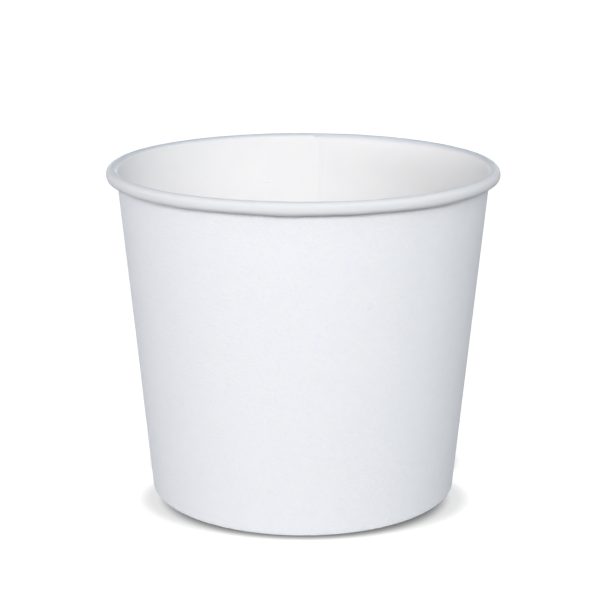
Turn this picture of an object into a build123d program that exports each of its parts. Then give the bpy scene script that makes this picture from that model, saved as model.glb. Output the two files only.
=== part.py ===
from build123d import *
from math import asin, atan, cos, degrees, radians, sin, tan
import os

# A deep paper bowl of coated paperboard, in millimetres. It stands on the plane z = 0, with its axis on +Z
# and its seam at the back, on the +Y side.

# Side wall
height = 99.5
base_diameter = 93.0        # outside of the wall, where it meets the table
mouth_diameter = 110.6      # inner face of the wall, carried on up to the top of the rim
board = 0.40                # thickness of the wall's paperboard

# Rolled rim
curl_width = 3.2            # from the mouth's edge out to the widest line of the rim
curl_flank = 0.45           # straight stretch on the outer side of the roll

# Lap seam
seam_angle = 84.4           # degrees from +X to the inner ply's cut edge
lap_width = 7.5             # overlap of the two plies at the mouth
lap_plies = 2
ramp_width = 3.0            # stretch in which the outer ply steps out over the inner one
press_height = 3.0          # stretch above the folds in which the lap is pressed down to one ply

# Bottom disc and the hem that holds it
floor_recess = 9.0          # from the table up to the underside of the floor
floor_board = 0.40          # thickness of the floor's paperboard
floor_bend = 0.5            # inner radius between the floor and its skirt
hem_gap = 1.5               # from the hem's free edge up to the floor
seal = 0.03                 # film between plies that are sealed together
fold_share = 0.25           # inner radius of the foot's two folds, as a share of the pocket between them

full_turn = 360.0
half_turn = 180.0
quarter_turn = 90.0

# The wall leans outward at one angle. A level size is measured along a radius.
mouth_radius = mouth_diameter / 2
foot_radius = base_diameter / 2 - board
lean = atan((mouth_radius - foot_radius) / height)
board_level = board / cos(lean)

# The roll is an arc that leaves the wall's inner face without a kink, a straight flank and a lower arc.
# The lower arc stops where its free edge would meet the doubled wall at the seam.
curl_radius = curl_width / (1 + cos(lean) - (1 - sin(lean)) * tan(lean))
roll_start = height - curl_radius * (1 - sin(lean))
roll_centre_radius = mouth_radius + curl_width - curl_radius
lower_centre_height = height - curl_radius - curl_flank
wall_beside_roll = foot_radius + lower_centre_height * tan(lean) + lap_plies * board_level
roll_room = roll_centre_radius - wall_beside_roll - seal
tuck_angle = degrees(lean + asin(cos(lean) * roll_room / curl_radius))

# The pocket between the wall and the hem takes the floor's skirt with a film on each side. The skirt's edge
# and the seam's pressed stretch are one board above the folds, which clears them however the wall leans.
pocket = floor_board + 2 * seal
fold_radius = fold_share * pocket
above_folds = board + fold_radius + board
hem_top = floor_recess - hem_gap
floor_top = floor_recess + floor_board

# The seam's edges lie in planes through the axis.
lap_angle = degrees(lap_width / mouth_radius)
ramp_angle = degrees(ramp_width / mouth_radius)


def wall_point(depth, z):
    """The point at height z on the line that lies depth outside the wall's inner face."""
    return (foot_radius + z * tan(lean) + depth / cos(lean), z)


def radial_plane(angle):
    """The plane through the axis at an angle from +X, with radius across and height up."""
    turn = radians(angle)
    return Plane(origin=(0, 0, 0), x_dir=(cos(turn), sin(turn), 0), z_dir=(sin(turn), -cos(turn), 0))


def sheet_edges(hem_depth, wall_depth):
    """One face of the rolled sheet in section, edge by edge from the hem's free edge to the rim's.

    The depths, on the hem and fold and on the wall and roll, are measured from the sheet's coated face.
    """
    foot = FilletPolyline(
        wall_point(-pocket - hem_depth, hem_top),
        wall_point(-pocket - hem_depth, board - hem_depth),
        wall_point(hem_depth, board - hem_depth),
        wall_point(hem_depth, above_folds),
        radius=fold_radius + hem_depth,
    )
    press = Line(foot @ 1, wall_point(wall_depth, above_folds + press_height))
    wall = Line(press @ 1, wall_point(wall_depth, roll_start - wall_depth * sin(lean)))
    over = JernArc(
        start=wall @ 1,
        tangent=wall % 1,
        radius=curl_radius - wall_depth,
        arc_size=degrees(lean) - half_turn,
    )
    flank = Line(over @ 1, over @ 1 - Vector(0, curl_flank))
    under = JernArc(
        start=flank @ 1,
        tangent=flank % 1,
        radius=curl_radius - wall_depth,
        arc_size=-quarter_turn - tuck_angle,
    )
    return [*foot.edges(), press, wall, over, flank, under]


def sheet_section(angle, inner_plies, outer_plies):
    """The sheet's section at an angle, with each face stepped outward by so many plies.

    Stretches in line with each other stay separate edges, so that two sections match edge for edge.
    """
    inner = sheet_edges(0, inner_plies * board)
    outer = sheet_edges(board, board + outer_plies * board)
    hem_edge = Line(inner[0] @ 0, outer[0] @ 0)
    rim_edge = Line(inner[-1] @ 1, outer[-1] @ 1)
    return radial_plane(angle) * make_face([*inner, rim_edge, *outer, hem_edge])


def floor_line(depth):
    """Draw one face of the floor's sheet, depth below its coated face, and return its two ends."""
    middle = (0, floor_top - depth)
    skirt_edge = wall_point(-seal - depth, above_folds)
    corner = wall_point(-seal - depth, floor_top - depth)
    FilletPolyline(middle, corner, skirt_edge, radius=floor_bend + floor_board - depth)
    return middle, skirt_edge


# Side wall: one ply almost all the way round, a ramp where the sheet steps out, and the doubled lap.
single_ply = sheet_section(seam_angle + lap_angle, 0, 0)
ramp_start = sheet_section(seam_angle - ramp_angle, 0, 0)
ramp_end = sheet_section(seam_angle, 1, 1)
doubled_ply = sheet_section(seam_angle, 0, 1)

with BuildPart() as side_wall:
    revolve(single_ply, axis=Axis.Z, revolution_arc=full_turn - lap_angle - ramp_angle)
    loft([ramp_start, ramp_end], ruled=True)
    revolve(doubled_ply, axis=Axis.Z, revolution_arc=lap_angle)

# Bottom disc: a flat floor whose skirt goes down into the pocket behind the hem.
with BuildPart() as bottom_disc:
    with BuildSketch(Plane.XZ):
        with BuildLine():
            top_middle, outer_edge = floor_line(0)
            under_middle, inner_edge = floor_line(floor_board)
            Line(top_middle, under_middle)
            Line(outer_edge, inner_edge)
        make_face()
    revolve(axis=Axis.Z)

os.makedirs("parts", exist_ok=True)
side_wall.part.label = "side_wall"
bottom_disc.part.label = "bottom_disc"
export_step(side_wall.part, "parts/side_wall.step")
export_step(bottom_disc.part, "parts/bottom_disc.step")
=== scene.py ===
import math

import bpy
import numpy as np
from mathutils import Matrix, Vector


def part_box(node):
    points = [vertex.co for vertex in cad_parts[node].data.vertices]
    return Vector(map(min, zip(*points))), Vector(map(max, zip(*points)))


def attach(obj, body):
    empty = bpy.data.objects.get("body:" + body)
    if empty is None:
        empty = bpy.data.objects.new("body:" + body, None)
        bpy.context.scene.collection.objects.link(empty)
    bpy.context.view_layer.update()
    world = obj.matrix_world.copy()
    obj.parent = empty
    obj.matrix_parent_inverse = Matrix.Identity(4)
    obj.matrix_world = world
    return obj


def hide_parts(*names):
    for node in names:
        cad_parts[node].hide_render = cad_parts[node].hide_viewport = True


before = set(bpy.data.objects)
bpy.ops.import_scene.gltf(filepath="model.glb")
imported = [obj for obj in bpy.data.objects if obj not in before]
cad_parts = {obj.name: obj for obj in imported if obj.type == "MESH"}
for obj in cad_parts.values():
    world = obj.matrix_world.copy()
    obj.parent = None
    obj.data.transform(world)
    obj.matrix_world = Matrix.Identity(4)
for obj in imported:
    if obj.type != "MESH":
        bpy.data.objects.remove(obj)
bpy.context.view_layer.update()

# A white paper bowl of two sealed boards. Lengths are in millimetres, as the solids have them, and the
# meshes are scaled to metres when they are made.
MM = 0.001
FULL_TURN = 2 * math.pi
QUARTER_TURN = math.pi / 2

# Side wall
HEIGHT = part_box("side_wall")[1].z / MM
BASE_RADIUS = 46.5
MOUTH_RADIUS = 55.3
BOARD = 0.40
FOOT_RADIUS = BASE_RADIUS - BOARD
LEAN = math.atan((MOUTH_RADIUS - FOOT_RADIUS) / HEIGHT)
MEAN_RADIUS = (BASE_RADIUS + MOUTH_RADIUS) / 2

# Rolled rim
CURL_WIDTH = 3.2
CURL_FLANK = 0.45
CURL_RADIUS = CURL_WIDTH / (1 + math.cos(LEAN) - (1 - math.sin(LEAN)) * math.tan(LEAN))
ROLL_START = HEIGHT - CURL_RADIUS * (1 - math.sin(LEAN))
LIP = 4.0

# Foot: the hem that holds the floor's skirt in a pocket
FLOOR_RECESS = 9.0
FLOOR_BEND = 0.5
HEM_GAP = 1.5
SEAL = 0.03
FOLD_SHARE = 0.25
POCKET = BOARD + 2 * SEAL
FOLD_RADIUS = FOLD_SHARE * POCKET
ABOVE_FOLDS = 2 * BOARD + FOLD_RADIUS
HEM_TOP = FLOOR_RECESS - HEM_GAP
FLOOR_TOP = FLOOR_RECESS + BOARD

# Lap seam at the back. The inner ply's edge is cut at a slant, and its upper corner is cut off round.
SEAM_ANGLE = math.radians(84.4)
LAP_WIDTH = 7.5
SKIVE_WIDTH = 1.3
TRIM_WIDTH = 3.0
LAP_ANGLE = LAP_WIDTH / MOUTH_RADIUS
SKIVE_ANGLE = SKIVE_WIDTH / MOUTH_RADIUS
TRIM_ANGLE = TRIM_WIDTH / MOUTH_RADIUS
TRIM_DROP = 1.6
RAMP_WIDTH = 3.0
ROLL_RAMP_WIDTH = 9.0
PRESS_HEIGHT = 3.0
PRESSED_SHARE = 0.5
CROWN_SHARE = 0.12
PLY_GAP = 0.02

# Ribs that the sealing tool leaves at the foot
FOOT_BAND = 10.0
RIB_COUNT = 133
RIB_SLANT = math.radians(22)
RIB_OUTSIDE = 0.018
RIB_ON_HEM = 0.10
RIB_FADE = 1.5

# The boards' own unevenness: each wave has so many lobes round the bowl
WALL_WAVE = 0.25
WALL_LOBES = (2, 3, 5, 8, 13, 21, 34)
WALL_SEED = 81
ROLL_WAVE = 1.0
ROLL_LOBES = (9, 16, 23, 37)
ROLL_SEED = 5
FLOOR_WAVE = 0.6
FLOOR_LOBES = (2, 3)
FLOOR_SEED = 8

# Meshes: columns round the bowl, rows along each run of the section, and the material zones
COLUMNS = 760
ROWS = {"hem": 6, "hem_fold": 4, "foot": 1, "wall_fold": 5, "band": 8, "wall": 8, "lip": 6,
        "over": 16, "flank": 2, "under": 9}
FLOOR_COLUMNS = 240
FLOOR_ROWS = {"floor": 10, "bend": 6, "skirt": 5}
SHARP_ANGLE = math.radians(40)
COATED, PLAIN, CUT = range(3)


def smooth_step(low, high, value):
    """0 up to low, 1 from high on, and a smooth rise between them."""
    share = np.clip((value - low) / (high - low), 0, 1)
    return share * share * (3 - 2 * share)


def wall_point(depth, z):
    """The point at height z on the line that lies depth outside the wall's inner face."""
    return np.array([FOOT_RADIUS + z * math.tan(LEAN) + depth / math.cos(LEAN), z])


def straight(start, end, count):
    """Points from start up to end, which is left out, and the way from the coated face into the board."""
    run = end - start
    heading = run / np.hypot(*run)
    points = start + np.outer(np.arange(count) / count, run)
    return points, np.tile([heading[1], -heading[0]], (count, 1))


def bend(centre, radius, first, last, count):
    """Points on an arc from the first angle up to the last, which is left out, and the way into the board."""
    angle = first + (last - first) * np.arange(count) / count
    spoke = np.stack([np.cos(angle), np.sin(angle)], 1)
    return centre + radius * spoke, spoke if last > first else -spoke


def join_runs(runs):
    """The points of all runs in a row, their ways into the board and each point's distance along the path."""
    points = np.concatenate([run[0] for run in runs])
    inward = np.concatenate([run[1] for run in runs])
    steps = np.hypot(*np.diff(points, axis=0).T)
    return points, inward, np.concatenate([[0], np.cumsum(steps)])


def wall_path():
    """The coated face of the side wall's sheet in section, from the hem's free edge to the rim's."""
    outward = np.array([math.cos(LEAN), -math.sin(LEAN)])
    down = -QUARTER_TURN
    hem_centre = wall_point(FOLD_RADIUS - POCKET, BOARD + FOLD_RADIUS)
    wall_centre = wall_point(-FOLD_RADIUS, BOARD + FOLD_RADIUS)
    below = np.array([0, -FOLD_RADIUS])
    band_top = wall_point(0, FOOT_BAND)
    lip_start = wall_point(0, ROLL_START - LIP)
    roll_start = wall_point(0, ROLL_START)
    over_centre = roll_start + CURL_RADIUS * outward
    under_centre = over_centre - np.array([0, CURL_FLANK])
    beside = np.array([CURL_RADIUS, 0])
    room = under_centre[0] - wall_point(2 * BOARD, under_centre[1])[0] - SEAL
    tuck = LEAN + math.asin(math.cos(LEAN) * room / CURL_RADIUS)
    return join_runs([
        straight(wall_point(-POCKET, HEM_TOP), hem_centre - FOLD_RADIUS * outward, ROWS["hem"]),
        bend(hem_centre, FOLD_RADIUS, math.pi - LEAN, FULL_TURN + down, ROWS["hem_fold"]),
        straight(hem_centre + below, wall_centre + below, ROWS["foot"]),
        bend(wall_centre, FOLD_RADIUS, down, -LEAN, ROWS["wall_fold"]),
        straight(wall_centre + FOLD_RADIUS * outward, band_top, ROWS["band"]),
        straight(band_top, lip_start, ROWS["wall"]),
        straight(lip_start, roll_start, ROWS["lip"]),
        bend(over_centre, CURL_RADIUS, math.pi - LEAN, 0, ROWS["over"]),
        straight(over_centre + beside, under_centre + beside, ROWS["flank"]),
        bend(under_centre, CURL_RADIUS, 0, down - tuck, ROWS["under"]),
    ])


def rows_before(name):
    """How many rows of the side wall come before the named run."""
    names = list(ROWS)
    return sum(ROWS[earlier] for earlier in names[:names.index(name)])


def uneven(angle, lobes, wave, seed):
    """A sum of soft waves round the bowl, each as much lower as it is shorter."""
    starts = np.random.default_rng(seed).uniform(0, FULL_TURN, len(lobes))
    return sum(wave / count * np.cos(count * angle + start) for count, start in zip(lobes, starts))


def loop_zones(rows):
    """The material zone of each face in a loop of rows along the coated face and back along the plain one."""
    return np.array([COATED] * (rows - 1) + [CUT] + [PLAIN] * (rows - 1) + [CUT])


def loop_faces(columns, rows, closed):
    """Quads of a grid whose rows close into a loop, and whose columns may close too."""
    column = np.arange(columns if closed else columns - 1)[:, None]
    row = np.arange(rows)
    here, there = column * rows, (column + 1) % columns * rows
    after = (row + 1) % rows
    return np.stack([here + row, there + row, there + after, here + after], 2).reshape(-1, 4)


def ring_points(radius, angle, level):
    """Points of a face from radius, angle and height."""
    return np.stack(np.broadcast_arrays(radius * np.cos(angle), radius * np.sin(angle), level), 2)


def make_mesh(name, points, places, faces, zones, materials):
    """A smooth mesh from points and their places on the flat sheet, all in millimetres."""
    mesh = bpy.data.meshes.new(name)
    mesh.from_pydata((points.reshape(-1, 3) * MM).tolist(), [], faces)
    for material in materials:
        mesh.materials.append(material)
    mesh.polygons.foreach_set("material_index", zones)
    mesh.polygons.foreach_set("use_smooth", np.ones(len(zones), bool))
    corners = np.empty(len(mesh.loops), int)
    mesh.loops.foreach_get("vertex_index", corners)
    sheet = mesh.uv_layers.new(name="sheet")
    sheet.uv.foreach_set("vector", (places.reshape(-1, 2)[corners] * MM).ravel())
    mesh.set_sharp_from_angle(angle=SHARP_ANGLE)
    mesh.update()
    piece = bpy.data.objects.new(name, mesh)
    bpy.context.scene.collection.objects.link(piece)
    return piece


def sheet_turns(z, on_wall, on_roll):
    """How far round the bowl each point of the coated face lies from the seam, and each of the plain face."""
    drop = np.clip((z - ROLL_START + TRIM_DROP) / TRIM_DROP, 0, 1) * on_wall
    trim = TRIM_ANGLE * np.where(on_roll, 1, 1 - np.sqrt(1 - drop ** 2))
    turn = np.linspace(-SKIVE_ANGLE, FULL_TURN + LAP_ANGLE, COLUMNS)[:, None]
    near_start = np.clip((LAP_ANGLE - turn) / (LAP_ANGLE + SKIVE_ANGLE), 0, 1)
    plain = turn + trim * near_start
    return plain + SKIVE_ANGLE * near_start, plain


def seam_step(turn, z, on_wall, on_roll, crown):
    """How deep the coated face lies, where the sheet steps out over its own start, and the board's thickness.

    The lap is loose on the wall, and pressed down to one board at the folds and in the roll. The inner ply
    thins out towards the roll's crown.
    """
    above_foot = smooth_step(ABOVE_FOLDS, ABOVE_FOLDS + PRESS_HEIGHT, z)
    below_roll = 1 - smooth_step(ROLL_START - LIP, ROLL_START, z)
    loose = np.where(on_wall & ~on_roll, above_foot * below_roll, 0)
    inner_share = loose + (1 - loose) * (PRESSED_SHARE + (CROWN_SHARE - PRESSED_SHARE) * crown)
    outer_share = 1 - (1 - loose) * inner_share
    ramp = RAMP_WIDTH + (ROLL_RAMP_WIDTH - RAMP_WIDTH) * smooth_step(HEIGHT / 2, ROLL_START, z) * on_wall
    step_end = FULL_TURN - SKIVE_ANGLE
    outer_ply = smooth_step(step_end - ramp / MOUTH_RADIUS, step_end, turn)
    inner_ply = 1 - smooth_step(LAP_ANGLE, LAP_ANGLE + RAMP_WIDTH / MOUTH_RADIUS, turn)
    board = BOARD * (1 - (1 - outer_share) * outer_ply - (1 - inner_share) * inner_ply)
    return outer_ply * (BOARD * inner_share + PLY_GAP * loose), board


def rib_depth(angle, z, on_wall):
    """Slanted ribs, pressed into the hem and faint on the wall outside it."""
    slant = z / math.cos(LEAN) * math.tan(RIB_SLANT) / BASE_RADIUS
    rib = 0.5 + 0.5 * np.cos(RIB_COUNT * (angle + slant))
    fade_out = smooth_step(FOOT_BAND, FOOT_BAND - RIB_FADE, z)
    fade_in = smooth_step(ABOVE_FOLDS, ABOVE_FOLDS + RIB_FADE, z)
    band = fade_out * fade_in
    return np.where(on_wall, RIB_OUTSIDE, RIB_ON_HEM) * rib * band


def wall_piece(materials):
    """The side wall's one sheet, from its inner cut edge once round and over itself to its outer one."""
    path, inward, length = wall_path()
    r, z = path.T
    rows = len(path)
    row = np.arange(rows)
    on_wall, on_roll = row >= rows_before("band"), row >= rows_before("over")
    crown = smooth_step(rows_before("over"), rows_before("over") + ROWS["over"] / 2, row)
    curled = np.clip((row - rows_before("flank")) / (rows - rows_before("flank")), 0, 1)
    free = smooth_step(FOOT_BAND, HEIGHT / 2, z) * on_wall
    faces_at, places = [], []
    for turn, is_plain in zip(sheet_turns(z, on_wall, on_roll), (False, True)):
        angle = SEAM_ANGLE + turn
        depth, board = seam_step(turn, z, on_wall, on_roll, crown)
        if is_plain:
            depth = depth + board - rib_depth(angle, z, on_wall)
        radius = r + depth * inward[:, 0] + uneven(angle, WALL_LOBES, WALL_WAVE, WALL_SEED) * free
        level = z + depth * inward[:, 1] + uneven(angle, ROLL_LOBES, ROLL_WAVE, ROLL_SEED) * curled
        faces_at.append(ring_points(radius, angle, level))
        along = length - length[rows_before("over")]
        places.append(np.stack(np.broadcast_arrays(turn * MEAN_RADIUS, along), 2))
    points = np.concatenate([faces_at[0], faces_at[1][:, ::-1]], 1)
    places = np.concatenate([places[0], places[1][:, ::-1]], 1)
    lower = np.arange(rows - 1)
    first_edge = np.stack([lower, lower + 1, 2 * rows - 2 - lower, 2 * rows - 1 - lower], 1)
    last_edge = (first_edge + (COLUMNS - 1) * 2 * rows)[:, ::-1]
    faces = np.concatenate([loop_faces(COLUMNS, 2 * rows, closed=False), first_edge, last_edge])

    # The inner ply's edge is pressed into the roll, where it has the coating's colour.
    first_zones = np.where(lower < rows_before("over"), CUT, COATED)
    zones = np.concatenate([np.tile(loop_zones(rows), COLUMNS - 1), first_zones, np.full(rows - 1, CUT)])
    return make_mesh("wall_sheet", points, places, faces.tolist(), zones, materials)


def floor_piece(materials):
    """The floor's sheet: a disc that turns down into the skirt behind the hem."""
    outer_bend = FLOOR_BEND + BOARD
    bend_centre = wall_point(-SEAL - outer_bend, FLOOR_TOP - outer_bend)
    skirt_top = bend_centre + outer_bend * np.array([math.cos(LEAN), -math.sin(LEAN)])
    hole_edge = np.array([outer_bend, FLOOR_TOP])
    bend_start = bend_centre + np.array([0, outer_bend])
    path, inward, length = join_runs([
        straight(hole_edge, bend_start, FLOOR_ROWS["floor"]),
        bend(bend_centre, outer_bend, QUARTER_TURN, -LEAN, FLOOR_ROWS["bend"]),
        straight(skirt_top, wall_point(-SEAL, ABOVE_FOLDS), FLOOR_ROWS["skirt"]),
    ])
    r, z = path.T
    rows = len(path)
    angle = np.arange(FLOOR_COLUMNS)[:, None] * FULL_TURN / FLOOR_COLUMNS
    out_share = np.clip(r / bend_centre[0], 0, 1)
    warp = uneven(angle, FLOOR_LOBES, FLOOR_WAVE, FLOOR_SEED) * (out_share * (1 - out_share)) ** 2
    faces_at = []
    for depth in (0, BOARD):
        faces_at.append(ring_points(r + depth * inward[:, 0], angle, z + depth * inward[:, 1] + warp))
    points = np.concatenate([faces_at[0], faces_at[1][:, ::-1]], 1)
    place = ring_points(length + outer_bend, angle, 0)[:, :, :2]
    places = np.concatenate([place, place[:, ::-1]], 1)

    # The loop's last face would close the hole in the middle as a tube, so two round faces take its place.
    in_middle = np.tile(np.arange(2 * rows) == 2 * rows - 1, FLOOR_COLUMNS)
    faces = loop_faces(FLOOR_COLUMNS, 2 * rows, closed=True)[~in_middle].tolist()
    zones = np.tile(loop_zones(rows), FLOOR_COLUMNS)[~in_middle]
    columns = np.arange(FLOOR_COLUMNS) * 2 * rows
    faces += [columns.tolist(), (columns[::-1] + 2 * rows - 1).tolist()]
    zones = np.concatenate([zones, [COATED, PLAIN]])
    return make_mesh("floor_sheet", points, places, faces, zones, materials)


def add(tree, kind, inputs=None, **settings):
    """A new node with its settings. An input gets a value, or a link if it is given a socket."""
    node = tree.nodes.new(kind)
    for name, value in settings.items():
        setattr(node, name, value)
    for name, value in (inputs or {}).items():
        if isinstance(value, bpy.types.NodeSocket):
            tree.links.new(value, node.inputs[name])
        else:
            node.inputs[name].default_value = value
    return node


def new_material(name, roughness, specular):
    """A material with one Principled shader, its tree and that shader."""
    material = bpy.data.materials.new(name)
    material.use_nodes = True
    tree = material.node_tree
    shader = tree.nodes["Principled BSDF"]
    shader.inputs["Roughness"].default_value = roughness
    shader.inputs["Specular IOR Level"].default_value = specular
    return material, tree, shader


def sheet_place(tree):
    """Where a point lies on the flat sheet, in metres, however the sheet is bent."""
    return add(tree, "ShaderNodeUVMap", uv_map="sheet").outputs["UV"]


def noise(tree, place, size, detail):
    """Soft spots about size across, from 0 to 1."""
    inputs = {"Vector": place, "Scale": 1 / (size * MM), "Detail": detail}
    return add(tree, "ShaderNodeTexNoise", inputs, noise_dimensions="2D").outputs["Fac"]


def fitted_place(tree, place, centre, turn, length, width):
    """Places on the sheet, measured from a centre in lengths and widths of something turned on it."""
    inputs = {
        "Vector": place,
        "Location": (centre[0] * MM, centre[1] * MM, 0),
        "Rotation": (0, 0, math.radians(turn)),
        "Scale": (length * MM, width * MM, 1),
    }
    return add(tree, "ShaderNodeMapping", inputs, vector_type="TEXTURE").outputs["Vector"]


def between(tree, value, low, high, start=0.0, end=1.0):
    """A smooth rise from start to end as the value goes from low to high."""
    inputs = {"Value": value, "From Min": low, "From Max": high, "To Min": start, "To Max": end}
    return add(tree, "ShaderNodeMapRange", inputs, interpolation_type="SMOOTHSTEP").outputs["Result"]


def calculate(tree, operation, first, second):
    """One step of arithmetic on two values or sockets."""
    return add(tree, "ShaderNodeMath", {0: first, 1: second}, operation=operation).outputs["Value"]


def vector_length(tree, vector):
    """The length of a vector, as a socket."""
    return add(tree, "ShaderNodeVectorMath", {0: vector}, operation="LENGTH").outputs["Value"]


# Where a Mix node has its colour sockets
MIX_FIRST = 6
MIX_SECOND = 7
MIX_RESULT = 2


def mix_colours(tree, share, first, second):
    """The first colour where the share is 0 and the second where it is 1."""
    node = add(tree, "ShaderNodeMix", {"Factor": share}, data_type="RGBA")
    for place, colour in ((MIX_FIRST, first), (MIX_SECOND, second)):
        if isinstance(colour, bpy.types.NodeSocket):
            tree.links.new(colour, node.inputs[place])
        else:
            node.inputs[place].default_value = (*colour, 1)
    return node.outputs[MIX_RESULT]


def set_relief(tree, shader, height, depth):
    """Bump from a height of 0 to 1 that stands for so many millimetres."""
    relief = add(tree, "ShaderNodeBump", {"Height": height, "Strength": 1.0, "Distance": depth * MM})
    tree.links.new(relief.outputs["Normal"], shader.inputs["Normal"])


# Fibres: the ways they lie, in degrees. The pairs are noise values that a change runs between.
FIBRE_TURNS = (10, 52, 98, 147)
FIBRE_EDGE = (0.42, 0.72)
NOISE_MIDDLE = (0.3, 0.7)
NOISE_RANGE = (0.2, 0.8)


def fibre_mat(tree, place, length, width):
    """Fibres that lie every way on the sheet and bend a little, from 0 to 1."""
    bends = {"Vector": place, "Scale": 1 / (2 * length * MM)}
    sway = add(tree, "ShaderNodeTexNoise", bends, noise_dimensions="2D")
    reach = (length * MM, length * MM, 0)
    offset = add(tree, "ShaderNodeVectorMath", {0: sway.outputs["Color"], 1: reach}, operation="MULTIPLY")
    swayed = add(tree, "ShaderNodeVectorMath", {0: place, 1: offset.outputs[0]}, operation="ADD").outputs[0]
    mat = None
    for turn in FIBRE_TURNS:
        laid = fitted_place(tree, swayed, (0, 0), turn, length, width)
        inputs = {"Vector": laid, "Scale": 1, "Detail": 1}
        streaks = add(tree, "ShaderNodeTexNoise", inputs, noise_dimensions="2D").outputs["Fac"]
        layer = between(tree, streaks, *FIBRE_EDGE)
        mat = layer if mat is None else calculate(tree, "MAXIMUM", mat, layer)
    return mat


# Uncoated face: colours, painted shade in the hollows, and sizes on the sheet and the relief's depth in
# millimetres
PLAIN_WHITES = ((0.891, 0.905, 0.944), (0.897, 0.911, 0.938))
PLAIN_CLOUD = 3.5
PLAIN_CLOUD_EDGE = (0.36, 0.64)
PLAIN_FIBRE = (2.2, 0.5)
PLAIN_FIBRE_SHARE = 0.6
PLAIN_GRAIN = 1.1
PLAIN_GRAIN_SHARE = 0.7
PLAIN_RELIEF = 0.065
# Painted shade where the fibres' relief is low: its colour, the heights it spans and how much it covers
HOLLOW_SHADE_COLOUR = (0.825, 0.836, 0.865)
HOLLOW_SHADE_EDGE = (0.35, 0.75)
HOLLOW_SHADE_SHARE = 0.2
SPECK_COLOUR = (0.80, 0.77, 0.72)
SPECK = 1.8
SPECK_EDGE = (0.77, 0.86)
SPECK_SHARE = 0.22


def plain_board():
    """The uncoated face: matt, faintly blue white, with soft clouds, fibres in relief with painted shade in
    their hollows, and a few specks.
    """
    material, tree, shader = new_material("plain_board", roughness=0.9, specular=0.01)
    place = sheet_place(tree)
    fibres = calculate(tree, "MULTIPLY", fibre_mat(tree, place, *PLAIN_FIBRE), PLAIN_FIBRE_SHARE)
    grain = calculate(tree, "MULTIPLY", noise(tree, place, PLAIN_GRAIN, detail=3), PLAIN_GRAIN_SHARE)
    height = calculate(tree, "ADD", fibres, grain)
    clouds = between(tree, noise(tree, place, PLAIN_CLOUD, detail=5), *PLAIN_CLOUD_EDGE)
    specks = between(tree, noise(tree, place, SPECK, detail=1), *SPECK_EDGE, 0, SPECK_SHARE)
    colour = mix_colours(tree, clouds, *PLAIN_WHITES)
    # Painted shade darkens the colour where the relief is low.
    colour = mix_colours(tree, between(tree, height, *HOLLOW_SHADE_EDGE, HOLLOW_SHADE_SHARE, 0), colour, HOLLOW_SHADE_COLOUR)
    colour = mix_colours(tree, specks, colour, SPECK_COLOUR)
    tree.links.new(colour, shader.inputs["Base Color"])
    set_relief(tree, shader, height, PLAIN_RELIEF)
    return material


# Coated face: colours, and sizes and places on the sheet in millimetres
COATED_WHITES = ((0.900, 0.893, 0.899), (0.910, 0.900, 0.901))
COATED_CLOUD = 8.0
COATED_FIBRE = (3.0, 0.7)
COATED_RELIEF = 0.006
COATED_ROUGHNESS = (0.55, 0.65)

# One small crease on the inside of the wall, with painted shade along it: its half sizes, and its depth as so
# many times the relief's
CREASE_PLACE = (16.7, -14.24)
CREASE_TURN = 6.4
CREASE_SIZE = (1.9, 0.14)
CREASE_EDGE = (1.0, 0.3)
CREASE_SHADE_COLOUR = (0.70, 0.69, 0.68)
CREASE_SHADE_SHARE = 0.5
CREASE_DEPTH = 4

# Painted shade along the roll: its grey, and where the greyer painted shade on its crown starts and ends.
# Towards the sheet's end the painted shade starts earlier.
ROLL_SHADE_COLOUR = (0.770, 0.781, 0.802)
ROLL_SHADE_START = -0.3
CROWN_SHADE_COLOUR = (0.670, 0.700, 0.750)
CROWN_SHADE_START = (0.4, 1.6)
CROWN_SHADE_END = (3.1, 2.1)
END_SHADE_STRETCH = (FULL_TURN * MEAN_RADIUS - 60, FULL_TURN * MEAN_RADIUS - 24)
END_SHADE_EARLY = 0.4


def coated_board(name, on_wall):
    """The food side: a smooth, nearly matt coating, with painted shade that makes it greyer and bluer on the
    roll.
    """
    material, tree, shader = new_material(name, roughness=0.6, specular=0.01)
    place = sheet_place(tree)
    clouds = noise(tree, place, COATED_CLOUD, detail=3)
    height = fibre_mat(tree, place, *COATED_FIBRE)
    colour = mix_colours(tree, between(tree, clouds, *NOISE_MIDDLE), *COATED_WHITES)
    if on_wall:
        # The roll's grey and its crown's greyer blue are painted shade, starting earlier towards the sheet's
        # end.
        across, along = add(tree, "ShaderNodeSeparateXYZ", {0: place}).outputs[:2]
        shade_early = between(tree, across, END_SHADE_STRETCH[0] * MM, END_SHADE_STRETCH[1] * MM, 0, END_SHADE_EARLY * MM)
        into_roll = calculate(tree, "ADD", along, shade_early)
        roll_shade = between(tree, into_roll, ROLL_SHADE_START * MM, CURL_RADIUS * MM)
        colour = mix_colours(tree, roll_shade, colour, ROLL_SHADE_COLOUR)
        crown_shade_start = between(tree, into_roll, CROWN_SHADE_START[0] * MM, CROWN_SHADE_START[1] * MM)
        crown_shade_end = between(tree, along, CROWN_SHADE_END[0] * MM, CROWN_SHADE_END[1] * MM)
        crown = calculate(tree, "MULTIPLY", crown_shade_start, crown_shade_end)
        colour = mix_colours(tree, crown, colour, CROWN_SHADE_COLOUR)
        in_crease = fitted_place(tree, place, CREASE_PLACE, CREASE_TURN, *CREASE_SIZE)
        crease = between(tree, vector_length(tree, in_crease), *CREASE_EDGE)
        # The crease's darker colour is painted shade; its groove is in the relief.
        colour = mix_colours(tree, calculate(tree, "MULTIPLY", crease, CREASE_SHADE_SHARE), colour, CREASE_SHADE_COLOUR)
        height = calculate(tree, "SUBTRACT", height, calculate(tree, "MULTIPLY", crease, CREASE_DEPTH))
    tree.links.new(colour, shader.inputs["Base Color"])
    tree.links.new(between(tree, clouds, *NOISE_RANGE, *COATED_ROUGHNESS), shader.inputs["Roughness"])
    set_relief(tree, shader, height, COATED_RELIEF)
    return material


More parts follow.
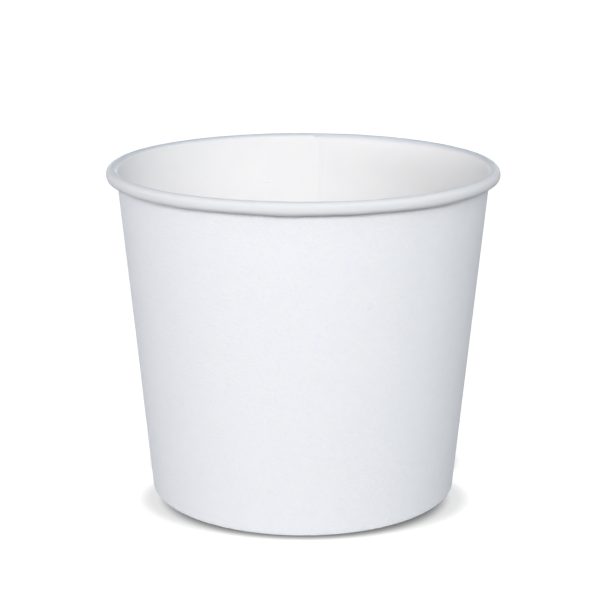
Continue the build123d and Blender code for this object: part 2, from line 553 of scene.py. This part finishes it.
# Cut edges: colours, and the grain's size and depth in millimetres
CUT_COLOURS = ((0.862, 0.850, 0.862), (0.884, 0.873, 0.882))
CUT_GRAIN = 0.25
CUT_RELIEF = 0.03


def cut_board():
    """The raw edge of the board, a little darker than its faces, with its fibres cut across."""
    material, tree, shader = new_material("cut_board", roughness=0.95, specular=0.1)
    grain = noise(tree, sheet_place(tree), CUT_GRAIN, detail=3)
    colour = mix_colours(tree, between(tree, grain, *NOISE_MIDDLE), *CUT_COLOURS)
    tree.links.new(colour, shader.inputs["Base Color"])
    set_relief(tree, shader, grain, CUT_RELIEF)
    return material


def seen_directly(tree):
    """1 for rays that show the stage itself, seen or mirrored, and 0 for rays that light the bowl."""
    rays = add(tree, "ShaderNodeLightPath").outputs
    mirrored = calculate(tree, "MAXIMUM", rays["Is Glossy Ray"], rays["Is Transmission Ray"])
    return calculate(tree, "MAXIMUM", rays["Is Camera Ray"], mirrored)


# Stage floor: half its width in metres, the grey that lights the bowl and the grey that is seen.
# Painted shadows by the foot, front and back, in the floor's glow: centres and reach in millimetres, the
# light left inside, and the share of the reach that is evenly dark.
FLOOR_HALF = 4.0
FLOOR_LIT = (0.4, 0.4, 0.4)
FLOOR_SEEN = (0.12, 0.12, 0.12)
SHADOW_CENTRES = ((0.5, -16.2), (0.5, 16.2))
SHADOWS = (((45.1, 34.2), 0.17), ((52.7, 35.0), 0.68))
SHADOW_CORE = 0.865


def pale_floor():
    """A pale floor whose glow carries a painted shadow by the bowl's foot, and is plain white further off."""
    mesh = bpy.data.meshes.new("floor")
    corners = [(-1, -1), (1, -1), (1, 1), (-1, 1)]
    mesh.from_pydata([(x * FLOOR_HALF, y * FLOOR_HALF, 0) for x, y in corners], [], [(0, 1, 2, 3)])
    material = bpy.data.materials.new("pale_floor")
    material.use_nodes = True
    tree = material.node_tree
    tree.nodes.clear()
    here = add(tree, "ShaderNodeTexCoord").outputs["Object"]
    seen = seen_directly(tree)
    glow = seen
    # The shadows are painted into the floor's glow.
    for centre in SHADOW_CENTRES:
        for reach, level in SHADOWS:
            in_shadow = vector_length(tree, fitted_place(tree, here, centre, 0, *reach))
            glow = calculate(tree, "MULTIPLY", glow, between(tree, in_shadow, SHADOW_CORE, 1.0, level, 1.0))
    white = add(tree, "ShaderNodeEmission", {"Strength": glow})
    lit = add(tree, "ShaderNodeBsdfDiffuse", {"Color": mix_colours(tree, seen, FLOOR_LIT, FLOOR_SEEN)})
    both = add(tree, "ShaderNodeAddShader", {0: lit.outputs[0], 1: white.outputs[0]})
    add(tree, "ShaderNodeOutputMaterial", {"Surface": both.outputs[0]})
    mesh.materials.append(material)
    floor = bpy.data.objects.new("floor", mesh)
    bpy.context.scene.collection.objects.link(floor)


# Soft lamps: azimuth from the camera's side towards +X and elevation in degrees, width and height in metres,
# the level that a white surface facing the lamp reaches, and the colour.
LAMP_DISTANCE = 1.6
LAMP_TARGET = (0, 0, 0.05)
LAMPS = {
    "key_left": (-15, 25, 1.3, 0.5, 0.458, (1.0, 1.0, 1.0)),
    "key_right": (12, 25, 1.3, 0.5, 0.318, (1.0, 1.0, 1.0)),
    "front_high": (0, 58, 1.4, 0.6, 0.11, (1.0, 1.0, 1.0)),
    "left": (-85, 5, 1.2, 0.25, 0.285, (0.98, 0.98, 1.0)),
    "left_back": (-125, 15, 1.0, 0.8, 0.06, (0.8, 0.92, 1.0)),
    "right": (50, 22, 0.9, 0.8, 0.16, (1.0, 1.0, 1.0)),
    "right_high": (75, 55, 1.0, 1.0, 0.06, (0.88, 0.95, 1.0)),
    "right_back": (115, 25, 1.0, 0.8, 0.15, (0.82, 0.93, 1.0)),
    "back": (180, 5, 1.0, 0.25, 0.55, (0.96, 0.98, 1.0)),
    "top": (0, 88, 0.6, 0.6, 0.06, (1.0, 1.0, 1.0)),
}
WORLD_LEVEL = 0.05
WORLD_COLOUR = (0.75, 0.88, 1.0)


def soft_lamp(name, azimuth, elevation, width, height, level, colour):
    """A rectangular lamp that faces the bowl."""
    lamp = bpy.data.lights.new(name, "AREA")
    lamp.shape = "RECTANGLE"
    lamp.size, lamp.size_y = width, height
    lamp.energy = level * (math.pi * LAMP_DISTANCE) ** 2
    lamp.color = colour
    turn, rise = math.radians(azimuth), math.radians(elevation)
    way = Vector((math.sin(turn) * math.cos(rise), -math.cos(turn) * math.cos(rise), math.sin(rise)))
    light = bpy.data.objects.new(name, lamp)
    light.location = Vector(LAMP_TARGET) + LAMP_DISTANCE * way
    light.rotation_euler = way.to_track_quat("Z", "Y").to_euler()
    bpy.context.scene.collection.objects.link(light)


def studio_world():
    """Even light from all round, with white where the world itself is seen."""
    world = bpy.data.worlds.new("studio")
    bpy.context.scene.world = world
    world.use_nodes = True
    tree = world.node_tree
    tree.nodes.clear()
    ambient = add(tree, "ShaderNodeBackground", {"Color": (*WORLD_COLOUR, 1), "Strength": WORLD_LEVEL})
    white = add(tree, "ShaderNodeBackground", {"Color": (1, 1, 1, 1), "Strength": 1})
    inputs = {0: seen_directly(tree), 1: ambient.outputs[0], 2: white.outputs[0]}
    shown = add(tree, "ShaderNodeMixShader", inputs)
    add(tree, "ShaderNodeOutputWorld", {"Surface": shown.outputs[0]})


# Camera fitted to the photo's outline: place in millimetres, pitch down in degrees and lens in millimetres
CAMERA_PLACE = (-0.905, -484.864, 186.843)
CAMERA_PITCH = 14.937
CAMERA_LENS = 98.949


def photo_camera():
    """The camera that sees the bowl as the photo does."""
    data = bpy.data.cameras.new("camera")
    data.lens = CAMERA_LENS
    camera = bpy.data.objects.new("camera", data)
    camera.location = [MM * value for value in CAMERA_PLACE]
    camera.rotation_euler = (math.radians(90 - CAMERA_PITCH), 0, 0)
    bpy.context.scene.collection.objects.link(camera)
    bpy.context.scene.camera = camera


plain, cut = plain_board(), cut_board()
wall_boards = [coated_board("coated_wall_board", on_wall=True), plain, cut]
floor_boards = [coated_board("coated_floor_board", on_wall=False), plain, cut]
for piece, node, slot in (
    (wall_piece(wall_boards), "side_wall", "wall_board"),
    (floor_piece(floor_boards), "bottom_disc", "floor_board"),
):
    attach(piece, "root")
    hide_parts(node)

pale_floor()
for lamp_name, settings in LAMPS.items():
    soft_lamp(lamp_name, *settings)
studio_world()
photo_camera()
bpy.context.scene.view_settings.view_transform = "Standard"
